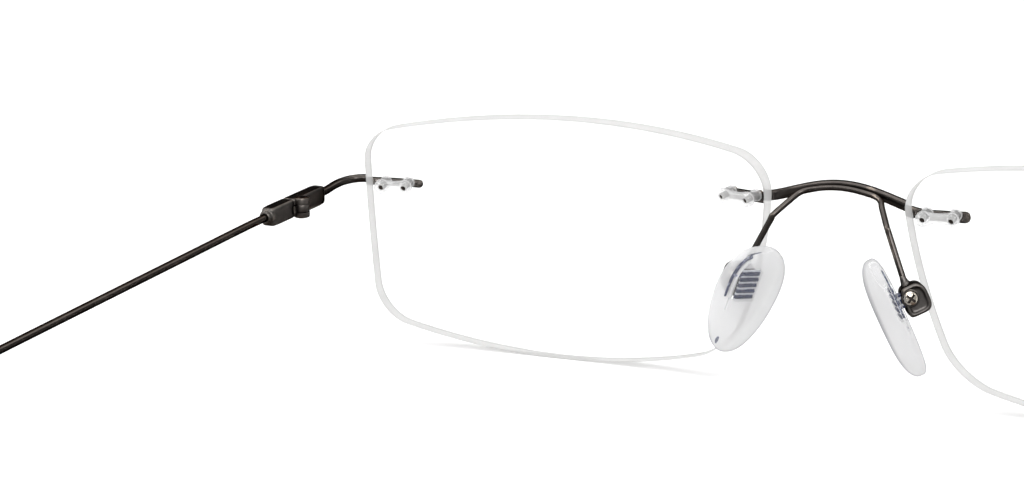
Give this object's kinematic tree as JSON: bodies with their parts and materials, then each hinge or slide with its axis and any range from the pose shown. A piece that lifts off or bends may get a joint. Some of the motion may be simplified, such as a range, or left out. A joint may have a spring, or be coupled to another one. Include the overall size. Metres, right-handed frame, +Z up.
{
  "type": "eyeglasses",
  "caption": "Rimless eyeglasses: clear rectangular lenses drilled for a dark wire bridge and endpieces, folding wire temples, rocking clear nose pads.",
  "frame": {"origin": "on the mid plane and on the table plane, under the middle of the pair's front-to-back length (the bottom centre of its bounding box)", "axes": "+X to the wearer's left, +Y from the front of the lenses back along the temples, +Z up; the open pair stands on both lens bottoms and both temple tips at z = 0"},
  "size_m": [0.142, 0.1516, 0.032],
  "materials": {
    "gunmetal_wire": "satin dark gunmetal plating with a faint brown cast",
    "gunmetal_block": "satin dark gunmetal plating on machined blocks",
    "hinge_screw": "dark plated small screw",
    "nickel_screw": "bright nickel screw with a cross recess",
    "lens_clear": "clear polished optical resin with a fine ground edge",
    "sleeve_clear": "clear moulded nylon plug",
    "pad_clear": "clear soft silicone pad",
    "insert_metal": "thin ridged metal core with a cool sheen",
    "tip_plastic": "dark moulded ear tip"
  },
  "bodies": {
    "front": {"bridge_bar": "gunmetal_wire", "pad_arm_wire": "gunmetal_wire", "pad_box_left": "gunmetal_block", "pad_box_right": "gunmetal_block", "pad_screw_left": "nickel_screw", "pad_screw_right": "nickel_screw", "lens_left": "lens_clear", "lens_right": "lens_clear", "sleeve_nasal_left": "sleeve_clear", "sleeve_nasal_right": "sleeve_clear", "sleeve_temporal_left": "sleeve_clear", "sleeve_temporal_right": "sleeve_clear", "endpiece_left": "gunmetal_wire", "endpiece_right": "gunmetal_wire", "hinge_block_front_left": "gunmetal_block", "hinge_block_front_right": "gunmetal_block", "hinge_screw_left": "hinge_screw", "hinge_screw_right": "hinge_screw"},
    "temple_left": {"hinge_block_temple_left": "gunmetal_block", "temple_wire_left": "gunmetal_wire", "temple_tip_left": "tip_plastic"},
    "temple_right": {"hinge_block_temple_right": "gunmetal_block", "temple_wire_right": "gunmetal_wire", "temple_tip_right": "tip_plastic"},
    "pad_left": {"nose_pad_left": "pad_clear", "nose_pad_insert_left": "insert_metal"},
    "pad_right": {"nose_pad_right": "pad_clear", "nose_pad_insert_right": "insert_metal"}
  },
  "joints": [
    {"name": "temple_left_fold", "type": "hinge", "parent": "front", "child": "temple_left", "pos_m": [0.0688, -0.05752, 0.0211], "axis": [0, 0, 1], "range_deg": [0, 90]},
    {"name": "temple_right_fold", "type": "hinge", "parent": "front", "child": "temple_right", "pos_m": [-0.0688, -0.05752, 0.0211], "axis": [0, 0, -1], "range_deg": [0, 85]},
    {"name": "pad_left_rock", "type": "hinge", "parent": "front", "child": "pad_left", "pos_m": [0.01137, -0.0678, 0.01542], "axis": [0.5321, 0.8354, 0.1378], "range_deg": [-10, 10]},
    {"name": "pad_right_rock", "type": "hinge", "parent": "front", "child": "pad_right", "pos_m": [-0.01137, -0.0678, 0.01542], "axis": [-0.5321, 0.8354, 0.1378], "range_deg": [-10, 10]}
  ]
}
